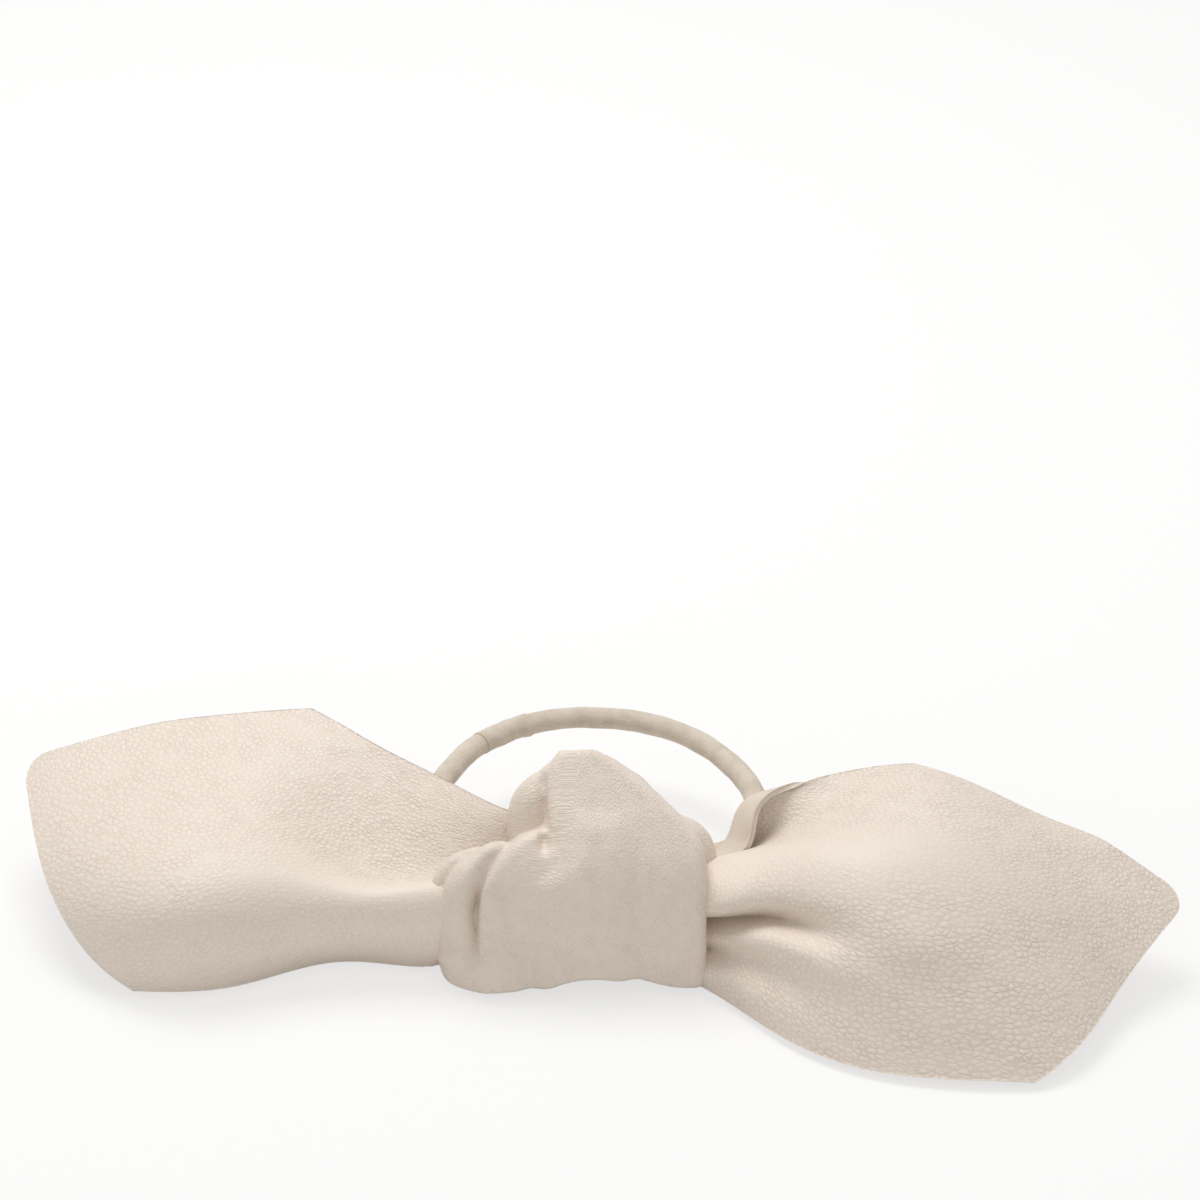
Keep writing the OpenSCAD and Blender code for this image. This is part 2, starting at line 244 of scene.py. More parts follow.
def half_width(s):
    """Half the strip's width at each station: square to the shoulders, then the round-tipped point."""
    point, half = tip_s - shoulder_s, strip_w / 2
    slope = math.atan2(half, point)
    end = point - tip_r / math.sin(slope) + tip_r
    turn = point - tip_r / math.tan(slope) * math.cos(slope)
    d = s - shoulder_s
    straight = half * np.clip((point - d) / point, 0, 1)
    cap = np.sqrt(np.clip(tip_r**2 - (d - end + tip_r) ** 2, 0.05**2, None))
    return np.where(d < turn, straight, cap), shoulder_s + end


def drape(net, s, t):
    """Place of each (s, t) of the flat strip, in mm. net: one row of (x, y, z) per station."""
    across = np.linspace(-strip_w / 2, strip_w / 2, net.shape[1])
    rows = np.einsum("qs,skc->qkc", spline_rows(net_s, s), net)
    out = np.empty(s.shape + (t.shape[1], 3))
    for q in range(len(s)):
        out[q] = spline_rows(across, t[q]) @ rows[q]
    return out


def grid_normals(p):
    n = np.cross(np.gradient(p, axis=0), np.gradient(p, axis=1))
    return n / np.maximum(np.linalg.norm(n, axis=2, keepdims=True), 1e-12)


def point_data(mesh, name, values, kind):
    attribute = mesh.attributes.new(name, kind, "POINT")
    attribute.data.foreach_set("vector" if kind == "FLOAT_VECTOR" else "value",
                               np.asarray(values, np.float32).ravel())


def put_in_scene(name, points, faces, materials, indices=None):
    mesh = bpy.data.meshes.new(name)
    mesh.from_pydata([tuple(p) for p in points], [], faces)
    for material in materials:
        mesh.materials.append(material)
    if indices is not None:
        mesh.polygons.foreach_set("material_index", indices)
    mesh.polygons.foreach_set("use_smooth", [True] * len(mesh.polygons))
    made = bpy.data.objects.new(name, mesh)
    bpy.context.collection.objects.link(made)
    return made


def leather_sheet(name, net, folds, slack_of, gather_of):
    """Closed sheet of leather over a net, with grain, flesh and edge faces."""
    _, end = half_width(np.array([0.0]))
    full = np.linspace(net_s[0], shoulder_s, 84)
    u = np.linspace(0, 1, 57)[1:]
    s = np.concatenate([full, shoulder_s + (end - shoulder_s) * np.sin(u * math.pi / 2) ** 1.15])
    half, _ = half_width(s)
    k = np.linspace(-1, 1, 113)
    k = 0.85 * k + 0.15 * np.sin(k * math.pi / 2)
    t = half[:, None] * k[None, :]
    mid = drape(net, s, t)
    flip = 1 if net[4, 0, 0] > 0 else -1
    mid = mid + folds(s[:, None] + 0 * t, t, mid)
    n = grid_normals(mid) * flip
    rows, cols = t.shape
    layers = [mid + n * leather_t / 2, mid - n * leather_t / 2]
    points = np.concatenate([layer.reshape(-1, 3) for layer in layers])
    at = np.arange(rows * cols).reshape(rows, cols)
    quads = np.stack([at[:-1, :-1], at[1:, :-1], at[1:, 1:], at[:-1, 1:]], -1).reshape(-1, 4)
    if flip < 0:
        quads = quads[:, ::-1]
    low = quads[:, ::-1] + rows * cols
    rim = np.concatenate([at[0, :-1], at[:-1, -1], at[-1, :0:-1], at[:0:-1, 0]])
    if flip > 0:
        rim = rim[::-1]
    # the cut edge stands out a little at half thickness
    out = np.cross(np.roll(points[rim], -1, 0) - np.roll(points[rim], 1, 0), n.reshape(-1, 3)[rim])
    out /= np.maximum(np.linalg.norm(out, axis=1, keepdims=True), 1e-9)
    rng = np.random.default_rng(11)
    rough = np.convolve(np.tile(rng.normal(0, 1, len(rim)), 3), np.ones(3) / 3, "same")
    rough = rough[len(rim):2 * len(rim)]
    middle = mid.reshape(-1, 3)[rim] - out * (0.10 + 0.05 * rough)[:, None] * flip
    first = len(points)
    points = np.concatenate([points, middle])
    nxt = np.roll(rim, -1)
    m = first + np.arange(len(rim))
    mn = np.roll(m, -1)
    upper = np.stack([rim, nxt, mn, m], -1)
    lower = np.stack([m, mn, nxt + rows * cols, rim + rows * cols], -1)
    faces = np.concatenate([quads, low, upper, lower])
    kinds = np.repeat([0, 1, 2], [len(quads), len(low), 2 * len(rim)])
    made = put_in_scene(name, points / 1000, faces.tolist(), [grain_side, flesh_side, cut_edge], kinds)
    # each tail reads its own stretch of the grain, so the two don't repeat
    own_stretch = np.array([0.3 * flip, 0, 0])
    flat = np.stack([s[:, None] + 0 * t, t, 0 * t], -1).reshape(-1, 3) / 1000
    slack = slack_of(s[:, None] + 0 * t, t).reshape(-1)
    pick = np.concatenate([np.arange(rows * cols)] * 2 + [rim])
    point_data(made.data, "rest", points / 1000, "FLOAT_VECTOR")
    point_data(made.data, "grain", flat[pick] + own_stretch, "FLOAT_VECTOR")
    point_data(made.data, "slack", slack[pick], "FLOAT")
    gather = gather_of(s[:, None] + 0 * t, t).reshape(-1)
    point_data(made.data, "gather", gather[pick], "FLOAT")
    return made


def net_of(rows):
    """Stations [x at front edge, x at back edge, [(y, z) or (y, z, x shift) ... front to back]]."""
    made = []
    for x_front, x_back, across in rows:
        x = np.linspace(x_front, x_back, len(across))
        made.append([(x[i] + sum(p[2:]), p[0], p[1]) for i, p in enumerate(across)])
    return np.array(made, float)


left_net = net_of([
    [-17, -7, [(-4, 3), (-8, 5.5), (-9, 11.5), (-5, 15.5), (0, 14), (2.5, 15.5), (4.4, 18), (6, 20.2),
               (7.3, 22.2)]],
    [-25, -13, [(-6.8, 0.9), (-9.4, 6.6), (-9.4, 13), (-5.6, 17.2), (0, 14.6), (3.4, 15.2), (5.8, 18),
                (7.6, 20.8), (9.4, 22.8)]],
    [-41, -23, [(-5.4, 0.8), (-9, 6.8), (-9.4, 13), (-5.6, 16), (1.2, 12.4), (7, 13.6), (11.6, 17),
                (15.6, 19.9), (18.9, 22)]],
    [-58, -35, [(-12, 0.6), (-13.4, 8.2), (-11.6, 15), (-6, 19.2), (2.8, 18.6), (11, 17.7), (17.8, 19.4),
                (23.4, 21.4), (27.6, 23.1)]],
    [-75, -47, [(-13.4, 0.6), (-14.6, 8.6), (-13, 16.2), (-6.8, 20.4), (2.4, 21.5), (12, 22), (21, 22.6),
                (29.4, 23.6), (37.2, 24.2)]],
    [-97.6, -67, [(-4, -5), (-2.4, 3), (0.2, 10.8), (6.4, 16), (16.2, 18.6), (26.6, 20), (36.5, 21.6),
                  (44.4, 23.2), (51, 24.6)]],
    [-113.5, -84, [(5, -3), (9.4, 2.6), (15, 8.4), (22.8, 13.2), (31.2, 17), (39.4, 20.5), (47.4, 23),
                   (55, 24.8), (62, 26)]],
])
right_net = net_of([
    [13, 13, [(-8, 2.5), (-7.5, 5), (-4.5, 6), (-5.2, 8), (-2.5, 9), (-6.4, 12.1), (-5.4, 15.1),
              (-0.6, 15.8), (2.5, 13.5), (3, 11.5), (4, 12.5), (4.5, 14), (2, 15)]],
    [24, 24, [(-13.8, 0.8), (-13.2, 4.6), (-9, 6), (-9.4, 9), (-5, 9.8), (-10, 14.5), (-7.6, 17.7),
              (-1, 18.2), (3.6, 14.8), (5, 12.4), (6.8, 12.8, 1), (7.2, 15.2, 2), (3, 16.8, 5)]],
    [36, 33, [(-26.6, 0.8), (-23.4, 5.2), (-18.8, 8.9), (-17, 13.7), (-9.2, 12.4), (-11, 16.9),
              (-7.6, 20.5), (-1.8, 21), (3.4, 18.6), (7.6, 16.6), (11, 17.6), (12.6, 21.4, -2.5),
              (9.4, 23.4, 0)]],
    [53, 46, [(-36.2, 0.8), (-32.7, 5), (-29.4, 9.4), (-26.2, 13.7), (-22.6, 17.8), (-18.8, 21.4),
              (-14, 24.4), (-8.2, 26), (-1.8, 25.2), (4.2, 23.3), (9.4, 22.4), (14.2, 22.3),
              (18.4, 23.0)]],
    [77, 60, [(-38.4, 0.8), (-34.6, 4.8), (-30.7, 8.7), (-26.7, 12.5), (-22.5, 16), (-18.1, 19.3),
              (-13.4, 22.1), (-8.4, 24.2), (-3.1, 25.4), (2.3, 26), (7.8, 26.1), (13.2, 25.8),
              (18.4, 25.1)]],
    [95.8, 82, [(-34.8, -4.6), (-29.8, -1.4), (-24.8, 1.8), (-20, 5.2), (-15.6, 8.8), (-11, 12.1),
                (-6.4, 14.9), (-1.6, 16.9), (3.4, 18.8), (8.3, 19.4), (12.9, 19.8), (17.4, 20.7),
                (22, 22)]],
    [111, 99.5, [(-31, -6.4), (-26.4, -3.4, -0.6), (-21.8, -0.2, -0.7), (-17.4, 3.2, -0.2),
                 (-12.8, 6.4, 0.6), (-8.2, 9.4, 1.0), (-3.4, 12.4, 0.9), (1.6, 15.7, 0),
                 (6.6, 19.8, -0.6), (11, 23.2, -0.8), (15.4, 25), (20, 26.8), (24.8, 28.4)]],
])


def left_folds(s, t, p):
    """Short upright creases in the front of the left neck, where the knot grips it."""
    window = np.exp(-((s - 4) / 4.5) ** 2) * ramp(-t, 8, 16)
    push = np.zeros_like(p)
    push[..., 1] = 0.20 * np.sin(2 * math.pi * (s + 0.06 * t) / 1.9 + 0.5 * np.sin(t / 3.1)) * window
    return push


def no_folds(s, t, p):
    return np.zeros_like(p)


def left_slack(s, t):
    valley = np.exp(-((s - 30) / 14) ** 2 - ((t - 3) / 9) ** 2)
    ridge = np.exp(-((t + 10) / 6) ** 2) * ramp(-s, -56, -36)
    return np.clip(0.72 + 0.28 * valley - 0.5 * ridge - 0.18 * ramp(-t, 12, 22), 0, 1)


def left_gather(s, t):
    return np.exp(-((s - 2) / 9) ** 2) * ramp(t, -4, 6) * 0.8


def right_slack(s, t):
    ridge = np.exp(-((t - 5) / 8) ** 2) * ramp(-s, -66, -40)
    return np.clip(0.85 - 0.62 * ridge - 0.3 * np.exp(-((t + 15) / 7) ** 2) * ramp(-s, -40, -20), 0, 1)


def right_gather(s, t):
    return np.exp(-((s - 2) / 10) ** 2) * 0.35


left_tail = leather_sheet("left_tail_leather", left_net, left_folds, left_slack, left_gather)
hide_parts("left_tail", "left_neck")
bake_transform(left_tail)
right_tail = leather_sheet("right_tail_leather", right_net, no_folds, right_slack, right_gather)
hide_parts("right_tail", "right_neck")
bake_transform(right_tail)

# ---------------------------------------------------------------- knot
# The same strip tied in an overhand knot and pulled tight: a broad band over the front, a
# fold tucked in at the top left, and rolled turns down the left side.


def length(v):
    return np.sqrt((v * v).sum(-1))


def roll(p, path):
    """Distance to a round roll along a path of (x, y, z, radius)."""
    path = np.array(path, float)
    knots = np.arange(len(path))
    path = spline_rows(knots, np.linspace(0, len(path) - 1, 6 * len(path))) @ path
    best = np.full(p.shape[:-1], 1e9)
    for a, b in zip(path[:-1], path[1:]):
        ab = b[:3] - a[:3]
        h = np.clip(((p - a[:3]) @ ab) / (ab @ ab), 0, 1)
        best = np.minimum(best, length(p - a[:3] - h[..., None] * ab) - (a[3] + (b[3] - a[3]) * h))
    return best


def soft_min(a, b, k):
    h = np.clip(0.5 + 0.5 * (b - a) / k, 0, 1)
    return b + (a - b) * h - k * h * (1 - h)


def soft_max(a, b, k):
    return -soft_min(-a, -b, k)


def stretched(p, planes, k):
    """Leather pulled over a form: flat faces with soft edges. planes: (point, outward direction)."""
    best = None
    for point, out in planes:
        out = np.array(out, float) / np.linalg.norm(out)
        d = (p - np.array(point, float)) @ out
        best = d if best is None else soft_max(best, d, k)
    return best


# roughly square to the sloping upper front of the knot: the line its furrows are pressed in along
furrow_way = np.array([0, -0.85, 0.53])


def crease(p, path, width):
    """Soft furrow in the upper front of the knot: 1 on its line, fading across it and to its ends."""
    path = np.array(path, float)
    path = spline_rows(np.arange(len(path)), np.linspace(0, len(path) - 1, 5 * len(path))) @ path
    best, share = np.full(p.shape[:-1], 1e9), np.zeros(p.shape[:-1])
    deep = p @ furrow_way
    p = p - deep[..., None] * furrow_way
    path = path - (path @ furrow_way)[:, None] * furrow_way
    for i, (a, b) in enumerate(zip(path[:-1], path[1:])):
        h = np.clip(((p - a) @ (b - a)) / ((b - a) @ (b - a)), 0, 1)
        d = length(p - a - h[..., None] * (b - a))
        share = np.where(d < best, (i + h) / (len(path) - 1), share)
        best = np.minimum(best, d)
    fade = (1 - 0.85 * ramp(share, 0.5, 1)) * (0.35 + 0.65 * ramp(share, 0.04, 0.26))
    return np.exp(-((best / width) ** 2)) * fade * ramp(deep, 4, 9)


# the middle of the straight run of the ring through the knot
ring_x, seat_y, ring_z = 3.0, 8.05, 13.0


def ring_sleeve(p):
    """The fold at the back that the elastic ring runs through."""
    sleeve_half, sleeve_r = 9.5, 4.9
    q = p - np.array([ring_x, seat_y, ring_z])
    past = np.maximum(np.abs(q[..., 0]) - sleeve_half, 0)
    return np.sqrt(past**2 + q[..., 1] ** 2 + (0.92 * q[..., 2]) ** 2) - sleeve_r


def knot_form(p):
    """Signed distance to the knot's skin, in mm: the layers it is wrapped from, softly joined."""
    x, z = p[..., 0], p[..., 2]
    full = p.copy()
    # the front swells near the table at the left and a little at the right, and its lower edge
    # lifts in the middle
    full[..., 1] += 2.6 * np.exp(-((x + 11) / 7.2) ** 2) * ramp(-z, -11, -3)
    full[..., 1] += 0.6 * np.exp(-((x - 18) / 5) ** 2)
    full[..., 2] -= 3.9 * np.exp(-((x - 4.0) / 9) ** 2) * ramp(-z, -10, -1)
    front = [((0, 0, 31.2), (0, -0.60, 0.80)), ((0, -7.5, 25.4), (0, -0.80, 0.60)),
             ((0, -11.6, 18), (0, -0.95, 0.30)), ((0, -13.2, 10), (-0.02, -1, 0.05)),
             ((0, 0, 0.6), (0, 0, -1))]
    band = stretched(full, front + [
        ((1.3, 7, 37.4), (0, 0.46, 0.89)),
        ((8, 6, 35.3), (0.57, 0.43, 0.70)),
        ((15.4, 4, 29.6), (0.65, 0.40, 0.65)),
        ((21.5, 0, 24.2), (0.79, 0.32, 0.52)),
        ((23.1, 0, 8), (1, 0, 0.01)),
        ((0, 10.5, 28), (0, 0.97, 0.24)),
        ((-3.9, 0, 30), (-1, -0.1, 0.04)),
        ((-3.6, 5.5, 35.6), (-0.85, 0.28, 0.45)),
    ], 2.2)
    lap = stretched(full, front + [
        ((-7.5, -4, 27.6), (0, 0.53, 0.85)),
        ((-10.1, -4, 26.3), (-0.40, 0.48, 0.78)),
        ((-12.7, -7, 23.6), (-0.76, 0.34, 0.55)),
        ((-15.7, -8, 18.5), (-0.97, 0.10, 0.20)),
        ((-16.2, 0, 12), (-1, 0, -0.03)),
        ((0, 6, 20), (0, 1, 0)),
        ((8, 0, 15), (1, 0, 0)),
    ], 2.4)
    tuck = roll(p, [(-1.5, 6.5, 30.2, 4.2), (-4, 5.3, 28.5, 4.3), (-6.4, 4.9, 25.6, 4.3),
                    (-6.8, 3.3, 21.2, 4.3)])
    turn = roll(p, [(-7, -2.4, 19.6, 3.4), (-11, -4.6, 21.4, 3.6), (-13.2, -5.7, 21.2, 3.9),
                    (-15, -6.2, 19.8, 4.1), (-17.4, -6.8, 17.4, 4.1), (-18.8, -7.4, 12, 4.1),
                    (-18.9, -8.4, 6, 4.3), (-17.6, -8.9, 1.5, 4.7)])
    outer = roll(p, [(-16, -3, 20.2, 2.4), (-19.6, -3.8, 19, 2.5), (-21.6, -4.8, 16, 2.5),
                     (-21.5, -5.6, 12.4, 2.3), (-20.6, -6.2, 8.5, 2.2)])
    side = roll(p, [(14, 4, 20.6, 4.0), (18.7, 3.0, 20.5, 4.0), (21.0, 1.4, 17.6, 4.0),
                    (20.4, -0.5, 12, 3.4), (19.2, -1.5, 8, 3.0)])
    # near the table the layers are pressed into one another
    low = ramp(-z, -9, -3)
    # the dimple is measured from its own middle, across and up the slope of the front
    pit = p - np.array([-4.3, -6.0, 26.0])
    across, up = pit[..., 0], 0.8 * pit[..., 2] + 0.6 * pit[..., 1]
    near = np.exp(-((pit[..., 1] - 0.75 * pit[..., 2]) / 4) ** 2)
    d = soft_min(band, lap, 0.4 + 4.0 * ramp(length(pit), 3, 8))
    # each fold dips where the layer over it begins: beside the lap, behind the turn, behind the band
    turn = turn + 2.0 * crease(p, [(-10, -11, 28), (-14, -11, 24), (-16, -11, 16), (-14.5, -11, 8)], 1.7)
    outer = outer + 0.45 * crease(p, [(-18.5, -8, 24), (-21, -8, 20), (-23, -8, 11)], 0.9)
    tuck = tuck + 1.6 * crease(p, [(-3, 0, 27), (-4.5, 0, 33), (-4, 0, 37)], 1.6)
    d = soft_min(d, turn, 0.35 + 4.5 * low)
    d = soft_min(d, outer, 0.3 + 1.5 * low)
    d = soft_min(d, tuck, 0.4)
    d = soft_min(d, side, 0.4)
    d = soft_min(d, ring_sleeve(p), 1.0)
    # the dimple where tuck, lap and band meet, with fine wrinkles running out of it to the right
    reach = np.sqrt(across**2 + up**2)
    dimple = 0.7 * np.exp(-((across - 0.4) ** 2 + up**2) / 3.0)
    dimple += 2.2 * np.exp(-((across + 0.3) / 0.8) ** 2 - ((up - 0.3) / 1.5) ** 2)
    spoke = np.sin(9 * np.arctan2(up, across) + 0.6) * ramp(reach, 0.8, 2.2) * np.exp(-reach / 3.0)
    d = d + near * (dimple + 0.07 * spoke * ramp(across, 0.6, 2))
    # the layer that wraps the back is drawn into slanting pleats
    slant = x + 0.35 * z + 0.6 * np.sin(0.25 * z)
    pleats = 0.32 * np.sin(1.05 * slant) + 0.16 * np.sin(2.1 * slant + 0.8)
    d = d + pleats * ramp(p[..., 1], 6.5, 10.5) * ramp(z, 2, 9)
    return soft_max(d, 0.35 - z, 1.2)


def wrap_mesh(form, low, high, pitch):
    """Closed skin of quads round a form, one point in each cell that the surface crosses."""
    low, high = np.array(low, float), np.array(high, float)
    n = np.ceil((high - low) / pitch).astype(int) + 1
    axes = [low[i] + pitch * np.arange(n[i]) for i in range(3)]
    grid = np.stack(np.meshgrid(*axes, indexing="ij"), -1)
    value = form(grid[::4, ::4, ::4]).repeat(4, 0).repeat(4, 1).repeat(4, 2)[:n[0], :n[1], :n[2]]
    near = np.abs(value) < 9 * pitch
    value[near] = form(grid[near])
    inside = value < 0
    corners = [(i, j, k) for i in (0, 1) for j in (0, 1) for k in (0, 1)]
    count = sum(inside[i:n[0] - 1 + i, j:n[1] - 1 + j, k:n[2] - 1 + k].astype(int) for i, j, k in corners)
    cell = np.argwhere((count > 0) & (count < 8))
    number = -np.ones(tuple(n - 1), int)
    number[tuple(cell.T)] = np.arange(len(cell))
    total, weight = np.zeros((len(cell), 3)), np.zeros(len(cell))
    for axis in range(3):
        for a, b in ((0, 0), (0, 1), (1, 0), (1, 1)):
            start = np.zeros(3, int)
            start[(axis + 1) % 3], start[(axis + 2) % 3] = a, b
            end = start.copy()
            end[axis] = 1
            va, vb = value[tuple((cell + start).T)], value[tuple((cell + end).T)]
            cross = (va < 0) != (vb < 0)
            f = np.where(cross, va / np.where(cross, va - vb, 1), 0)
            total += np.where(cross, 1, 0)[:, None] * (start + f[:, None] * (end - start))
            weight += cross
    points = low + pitch * (cell + total / weight[:, None])
    quads = []
    for axis in range(3):
        u, v = (axis + 1) % 3, (axis + 2) % 3
        first = [slice(1, n[i] - 1) for i in range(3)]
        first[axis] = slice(0, n[axis] - 1)
        second = list(first)
        second[axis] = slice(1, n[axis])
        a, b = inside[tuple(first)], inside[tuple(second)]
        for turn, mask in ((1, a & ~b), (0, b & ~a)):
            at = np.argwhere(mask) + np.array([s.start for s in first])
            ring = []
            for du, dv in ((-1, -1), (0, -1), (0, 0), (-1, 0)):
                c = at.copy()
                c[:, u] += du
                c[:, v] += dv
                ring.append(number[tuple(c.T)])
            ring = np.stack(ring, -1)
            quads.append(ring if turn else ring[:, ::-1])
    return points, np.concatenate(quads)


def settle(form, points, steps=4):
    """Moves points onto the form's surface."""
    e = 0.05
    for _ in range(steps):
        g = np.stack([form(points + e * axis) - form(points - e * axis) for axis in np.eye(3)], -1)
        g /= 2 * e
        size = np.maximum(length(g), 0.3)
        points = points - (form(points) / size**2)[:, None] * g * 0.8
    return points


pitch = 0.42
points, quads = wrap_mesh(knot_form, (-29, -22, -3), (29, 18, 40), pitch)
points = settle(knot_form, points)
knot = put_in_scene("knot_leather", points / 1000, quads.tolist(), [grain_side])
point_data(knot.data, "rest", points / 1000, "FLOAT_VECTOR")
# the pull makes the grain long up the knot and fine across it, and it leans more at the left
lean = 0.10 + 0.45 * ramp(-points[:, 0], -2, 12)
rise = points[:, 2] + 0.8 * points[:, 1]
pull = np.column_stack([1.25 * rise, 2.2 * (points[:, 0] + lean * rise), points[:, 1]])
point_data(knot.data, "grain", pull / 1000, "FLOAT_VECTOR")
point_data(knot.data, "slack", np.full(len(points), 0.6), "FLOAT")
point_data(knot.data, "gather", np.full(len(points), 0.10), "FLOAT")
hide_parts("knot_pack", "front_band", "left_turn", "top_tuck", "ring_loop")
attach(knot, "knot")

# ---------------------------------------------------------------- cover of the elastic ring
# A tube of thin suede, about 4 mm across, glued shut along a seam. It runs through the back
# of the knot and closes with a short lap.

ring_r, bend_r, seat_l = 30.0, 12.0, 13.5
centre_y = seat_y + seat_l


def ring_path(count):
    """Middle line of the cord: straight in the knot, a bend each side, round at the back."""
    straight = math.sqrt((ring_r - bend_r) ** 2 - (seat_l - bend_r) ** 2)
    join = math.atan2(bend_r - seat_l, straight)
    a = np.linspace(-straight, straight, 60)
    run = np.column_stack([a, np.full(60, -seat_l)])
    b = np.linspace(-math.pi / 2, join, 60)[1:]
    right = np.column_stack([straight + bend_r * np.cos(b), bend_r - seat_l + bend_r * np.sin(b)])
    c = np.linspace(join, math.pi - join, 400)[1:]
    back = ring_r * np.column_stack([np.cos(c), np.sin(c)])
    left = right[::-1][1:] * [-1, 1]
    loop = np.concatenate([run, right, back, left, run[:1]])
    # a soft ring is never quite round: flatter on the left, a slack place at the back right
    turn = np.degrees(np.arctan2(loop[:, 1], loop[:, 0]))
    behind = ramp(loop[:, 1], -4, 8)
    flat_left = 0.062 * np.exp(-((turn - 158) / 24) ** 2)
    slack_right = 0.016 * np.exp(-((turn - 34) / 16) ** 2)
    full_lap = 0.006 * np.exp(-((turn - 108) / 10) ** 2)
    loop *= (1 - behind * (flat_left + slack_right - full_lap))[:, None]
    step = np.concatenate([[0], np.cumsum(length(np.diff(loop, axis=0)))])
    want = np.linspace(0, step[-1], count, endpoint=False)
    x, y = (np.interp(want, step, loop[:, i]) for i in (0, 1))
    return np.column_stack([x + ring_x, y + centre_y, np.full(count, ring_z)])


def tube_tree():
    """Geometry Nodes: sweeps a section with a seam notch along a loop, and swells it unevenly."""
    tree = bpy.data.node_groups.new("tube along a loop", "GeometryNodeTree")
    face = tree.interface
    face.new_socket("Loop", in_out="INPUT", socket_type="NodeSocketGeometry")
    for socket, kind in (("Radius", "Float"), ("Height share", "Float"), ("Sides", "Int"),
                         ("Swelling", "Float"), ("Seam", "Float"), ("Material", "Material")):
        face.new_socket(socket, in_out="INPUT", socket_type="NodeSocket" + kind)
    face.new_socket("Tube", in_out="OUTPUT", socket_type="NodeSocketGeometry")
    given = node(tree, "NodeGroupInput").outputs
    curve = node(tree, "GeometryNodeMeshToCurve", (), {"Mesh": given["Loop"]}).outputs["Curve"]
    upright = node(tree, "GeometryNodeSetCurveNormal", {"mode": "Z_UP"}, {"Curve": curve}).outputs["Curve"]
    circle = node(tree, "GeometryNodeCurvePrimitiveCircle", (), {
        "Resolution": given["Sides"], "Radius": 1.0})
    where = node(tree, "GeometryNodeInputPosition").outputs[0]
    side = node(tree, "ShaderNodeSeparateXYZ", (), {0: where}).outputs["X"]
    at_seam = node(tree, "FunctionNodeCompare", {"operation": "GREATER_THAN"},
                   {0: side, 1: 0.985}).outputs[0]
    inward = node(tree, "ShaderNodeVectorMath", {"operation": "SCALE"},
                  {0: where, "Scale": given["Seam"]}).outputs[0]
    notched = node(tree, "GeometryNodeSetPosition", (), {
        "Geometry": circle.outputs[0], "Selection": at_seam, "Offset": inward}).outputs[0]
    flat = node(tree, "ShaderNodeMath", {"operation": "MULTIPLY"},
                {0: given["Radius"], 1: given["Height share"]}).outputs[0]
    size = node(tree, "ShaderNodeCombineXYZ", (), {"X": given["Radius"], "Y": flat, "Z": 1.0}).outputs[0]
    section = node(tree, "GeometryNodeTransform", (), {"Geometry": notched, "Scale": size}).outputs[0]
    swept = node(tree, "GeometryNodeCurveToMesh", (), {
        "Curve": upright, "Profile Curve": section, "Fill Caps": True}).outputs[0]
    lumps = node(tree, "ShaderNodeTexNoise", (), {"Scale": 170.0, "Detail": 3.0}).outputs["Fac"]
    uneven = node(tree, "ShaderNodeMath", {"operation": "SUBTRACT"}, {0: lumps, 1: 0.5}).outputs[0]
    amount = node(tree, "ShaderNodeMath", {"operation": "MULTIPLY"},
                  {0: uneven, 1: given["Swelling"]}).outputs[0]
    out = node(tree, "GeometryNodeInputNormal").outputs[0]
    move = node(tree, "ShaderNodeVectorMath", {"operation": "SCALE"}, {0: out, "Scale": amount}).outputs[0]
    swollen = node(tree, "GeometryNodeSetPosition", (), {"Geometry": swept, "Offset": move}).outputs[0]
    smooth = node(tree, "GeometryNodeSetShadeSmooth", (), {"Geometry": swollen}).outputs[0]
    real = node(tree, "GeometryNodeRealizeInstances", (), {"Geometry": smooth}).outputs[0]
    dressed = node(tree, "GeometryNodeSetMaterial", (), {
        "Geometry": real, "Material": given["Material"]}).outputs[0]
    node(tree, "NodeGroupOutput", (), {"Tube": dressed})
    return tree


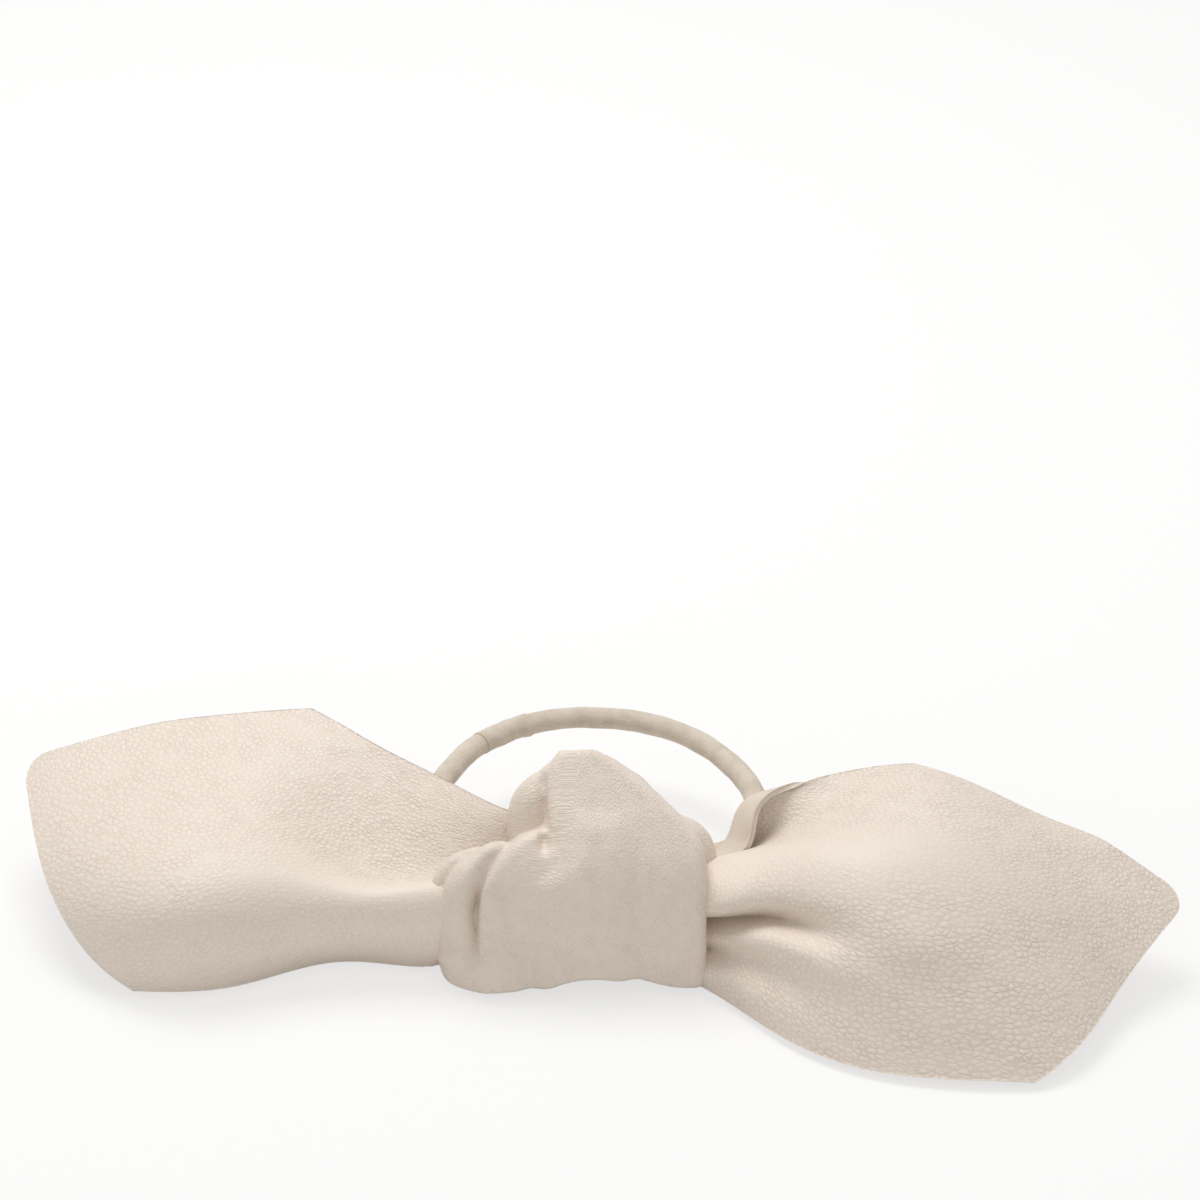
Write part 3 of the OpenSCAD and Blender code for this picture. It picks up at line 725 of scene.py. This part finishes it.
def grown(name, points, edges, tree, material, thick=None, **sizes):
    """Runs a node tree on points and edges, and keeps the result as a plain mesh object."""
    mesh = bpy.data.meshes.new(name)
    mesh.from_pydata([tuple(p) for p in points], edges, [])
    seed = bpy.data.objects.new(name + "_path", mesh)
    bpy.context.collection.objects.link(seed)
    if thick is not None:
        point_data(mesh, "radius", thick, "FLOAT")
    nodes = seed.modifiers.new("grow", "NODES")
    nodes.node_group = tree
    for item in tree.interface.items_tree:
        key = item.name.replace(" ", "_").lower()
        if item.in_out == "INPUT" and key in sizes:
            nodes[item.identifier] = sizes[key]
        elif item.in_out == "INPUT" and item.name == "Material":
            nodes[item.identifier] = material
    bpy.context.view_layer.update()
    result = bpy.data.meshes.new_from_object(seed.evaluated_get(bpy.context.evaluated_depsgraph_get()))
    bpy.data.objects.remove(seed)
    made = bpy.data.objects.new(name, result)
    bpy.context.collection.objects.link(made)
    rest = np.empty(3 * len(result.vertices))
    result.vertices.foreach_get("co", rest)
    point_data(result, "rest", rest, "FLOAT_VECTOR")
    return made


def ring_of(count):
    return ring_path(count) / 1000, [(i, (i + 1) % count) for i in range(count)]


def turn_of(points):
    """Angle round the ring of points in metres, in degrees from its right-hand side."""
    return np.degrees(np.arctan2(points[:, 1] - centre_y / 1000, points[:, 0] - ring_x / 1000))


def fullness(points):
    """How fat the suede tube is along the ring: drawn thin at the back, fuller at the sides."""
    turn = turn_of(points)
    return 0.93 + 0.20 * np.exp(-((turn - 158) / 28) ** 2) + 0.09 * np.exp(-((turn - 35) / 30) ** 2)


tubes = tube_tree()
suede = nap("Thin cream suede, cover", "#E1D6C9", "#C3B5A3", 0.25, 0.12)
way_round = ring_of(520)
cover = grown("ring_cover", *way_round, tubes, suede, thick=fullness(way_round[0]), radius=0.00205,
              height_share=0.93, sides=36, swelling=0.0005, seam=-0.13)
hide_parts("cover_front", "cover_left", "cover_right", "cover_back")
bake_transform(cover)

# ---------------------------------------------------------------- lap of the cover
# Where the suede tube closes on itself, its end is drawn over the start and glued, so the
# ring is a little thicker there, with creases in the upper layer.
lap_from, lap_to = 112, 133
loop = ring_path(900) / 1000
span = loop[(turn_of(loop) > lap_from) & (turn_of(loop) < lap_to)]
lap = grown("ring_cover_lap", span, [(i, i + 1) for i in range(len(span) - 1)], tubes, suede,
            thick=fullness(span), radius=0.00218, height_share=0.93, sides=36, swelling=0.0012, seam=-0.10)
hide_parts("cover_lap")
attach(lap, "ring_back")

# ---------------------------------------------------------------- elastic cord
# Round white elastic, 2.7 mm thick, whose ends are glued together inside the knot. The suede
# hides all of it.
rubber = nap("White elastic cord", "#E4E1DA", "#D4D0C7", 0.3, 0.05, sheen=0.1)
core = grown("elastic_cord", *ring_of(300), tubes, rubber, radius=0.00135, height_share=1.0, sides=20,
             swelling=0.0, seam=0.0)
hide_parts("core_front_left", "core_front_right", "core_left", "core_right", "core_back", "core_joint")
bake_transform(core)
